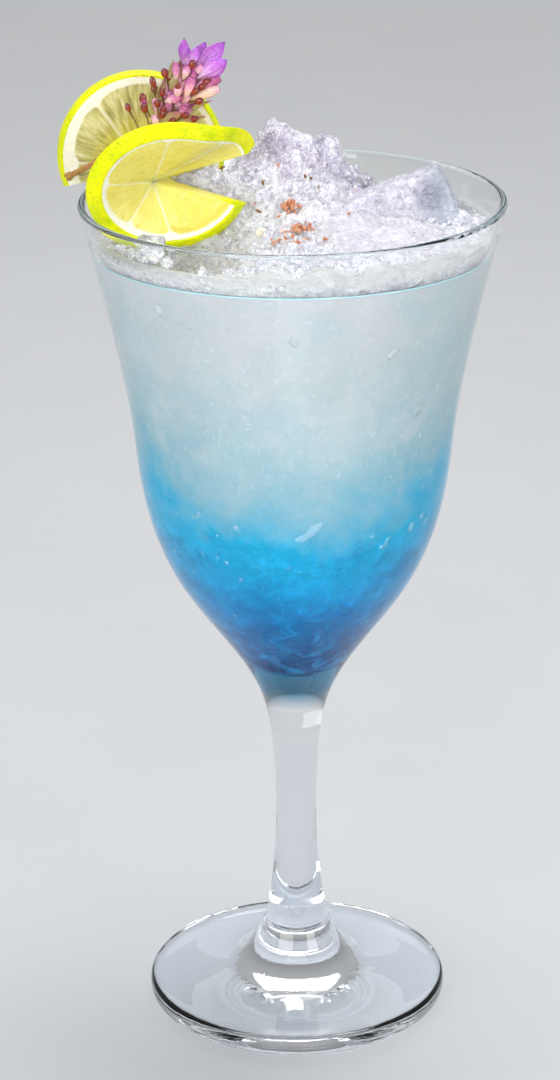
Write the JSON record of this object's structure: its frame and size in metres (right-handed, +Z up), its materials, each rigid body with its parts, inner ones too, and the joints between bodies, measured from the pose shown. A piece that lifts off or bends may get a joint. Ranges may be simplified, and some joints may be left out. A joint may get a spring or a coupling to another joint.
{
  "type": "glass of layered iced drink",
  "caption": "Stemmed goblet of iced drink, blue below and milky white above, with crushed ice, two slit lime slices and a flower sprig.",
  "frame": {"origin": "centre of the flat under the foot, on the glass's axis", "axes": "+Z up along the glass's axis; the side the garnish is seen from is -Y; the lime slices are at -X"},
  "size_m": [0.0939, 0.09, 0.2198],
  "materials": {
    "glass": "clear polished glass",
    "blue_drink": "deep blue syrup, darker towards the bottom",
    "white_drink": "milky white slush of ice and drink, tinted blue below",
    "crushed_ice": "wet crushed ice with a few red and brown flecks",
    "ice_lump": "frosted lump of ice with melted edges",
    "lime": "yellow-green rind, thin white pith, pale wet flesh",
    "sprig": "brown knobbly stem",
    "flowers": "red-brown buds, pink calyces and purple petals"
  },
  "bodies": {
    "root": {"goblet": "glass", "drink_blue": "blue_drink", "drink_white": "white_drink", "ice_heap": "crushed_ice", "ice_block": "ice_lump", "lime_front": "lime", "lime_back": "lime", "sprig_stem": "sprig", "flower_head": "flowers"}
  },
  "joints": []
}
